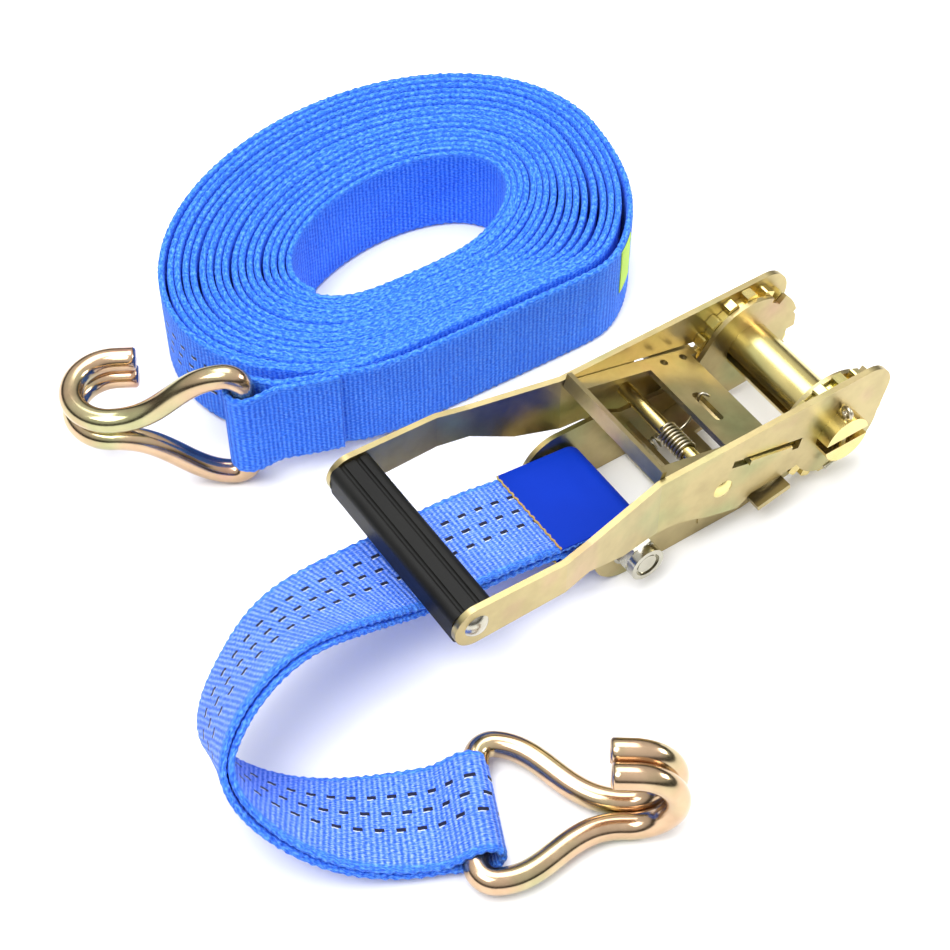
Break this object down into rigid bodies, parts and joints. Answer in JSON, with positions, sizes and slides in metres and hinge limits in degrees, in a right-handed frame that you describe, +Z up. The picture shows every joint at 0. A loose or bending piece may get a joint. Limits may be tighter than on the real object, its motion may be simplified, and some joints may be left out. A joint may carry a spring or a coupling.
{
  "type": "ratchet tie down",
  "caption": "Ratchet tie down strap set with a hand ratchet, a short fixed strap and a coiled long strap, each ending in a double claw wire hook.",
  "frame": {"origin": "middle of the ratchet's spindle axis", "axes": "+X from the grip to the spindle, +Y along the spindle from the nut side to the coil side, +Z up from the ground the set lies on"},
  "size_m": [0.3676, 0.439, 0.0775],
  "materials": {
    "zinc_plate": "yellow passivated zinc plate, semi-bright",
    "zinc_round": "yellow passivated zinc on round stock, bright",
    "hook_zinc": "yellow passivated zinc on round wire, glossy",
    "clear_zinc": "clear passivated zinc",
    "spring_steel": "spring wire",
    "grip_plastic": "fine grained black",
    "webbing": "woven polyester, black marker threads",
    "sleeve": "smooth tube sleeve",
    "label": "woven tag, blank"
  },
  "bodies": {
    "frame": {"frame_side_left": "zinc_plate", "frame_side_right": "zinc_plate", "frame_cross_plate": "zinc_plate", "strap_bolt": "clear_zinc", "strap_bolt_nut": "clear_zinc", "strap_bolt_spacer": "zinc_round", "frame_pawl_springs": "spring_steel"},
    "frame_pawl_slide": {"frame_pawl": "zinc_plate"},
    "handle": {"handle_side_left": "zinc_plate", "handle_side_right": "zinc_plate", "handle_grip": "grip_plastic", "grip_rod": "clear_zinc", "handle_cross_rod": "zinc_round", "handle_pawl_spring": "spring_steel"},
    "pull_slide": {"handle_pawl": "zinc_plate"},
    "spindle": {"spindle_half_upper": "zinc_round", "spindle_half_lower": "zinc_round", "ratchet_wheel_left": "zinc_round", "ratchet_wheel_right": "zinc_round", "split_pin_left": "spring_steel", "split_pin_right": "spring_steel"},
    "short_strap_end": {"short_strap": "webbing", "strap_sleeve": "sleeve"},
    "short_hook": {"short_strap_hook": "hook_zinc"},
    "long_strap": {"long_strap_coil": "webbing", "long_strap_tail": "webbing", "strap_label": "label"},
    "long_hook": {"long_strap_hook": "hook_zinc"}
  },
  "joints": [
    {"name": "handle_pivot", "type": "hinge", "parent": "frame", "child": "handle", "pos_m": [0, 0, 0], "axis": [0, 1, 0], "range_deg": [0, 180]},
    {"name": "pull_slide_travel", "type": "slide", "parent": "handle", "child": "pull_slide", "axis": [0.9659, 0, -0.2588], "range_m": [-0.005, 0.005], "stiffness_N_per_m": 600, "deforming": ["handle_pawl_spring"]},
    {"name": "frame_pawl_travel", "type": "slide", "parent": "frame", "child": "frame_pawl_slide", "axis": [-0.9781, 0, -0.2079], "range_m": [-0.0055, 0.0015], "stiffness_N_per_m": 600, "deforming": ["frame_pawl_springs"]},
    {"name": "spindle_turn", "type": "hinge", "parent": "frame", "child": "spindle", "pos_m": [0, 0, 0], "axis": [0, 1, 0], "continuous": true},
    {"name": "short_strap_swing", "type": "hinge", "parent": "frame", "child": "short_strap_end", "pos_m": [-0.113, 0, -0.015], "axis": [0, 1, 0], "range_deg": [-25, 0]},
    {"name": "short_hook_swing", "type": "hinge", "parent": "short_strap_end", "child": "short_hook", "pos_m": [-0.245, -0.101, -0.02535], "axis": [-0.5548, -0.832, 0], "range_deg": [0, 100]},
    {"name": "long_strap_lift", "type": "slide", "parent": "frame", "child": "long_strap", "axis": [0, 0, 1], "range_m": [0, 0.1]},
    {"name": "long_hook_swing", "type": "hinge", "parent": "long_strap", "child": "long_hook", "pos_m": [-0.228, 0.115, 0.00425], "axis": [0, 0, 1], "range_deg": [0, 75]}
  ]
}
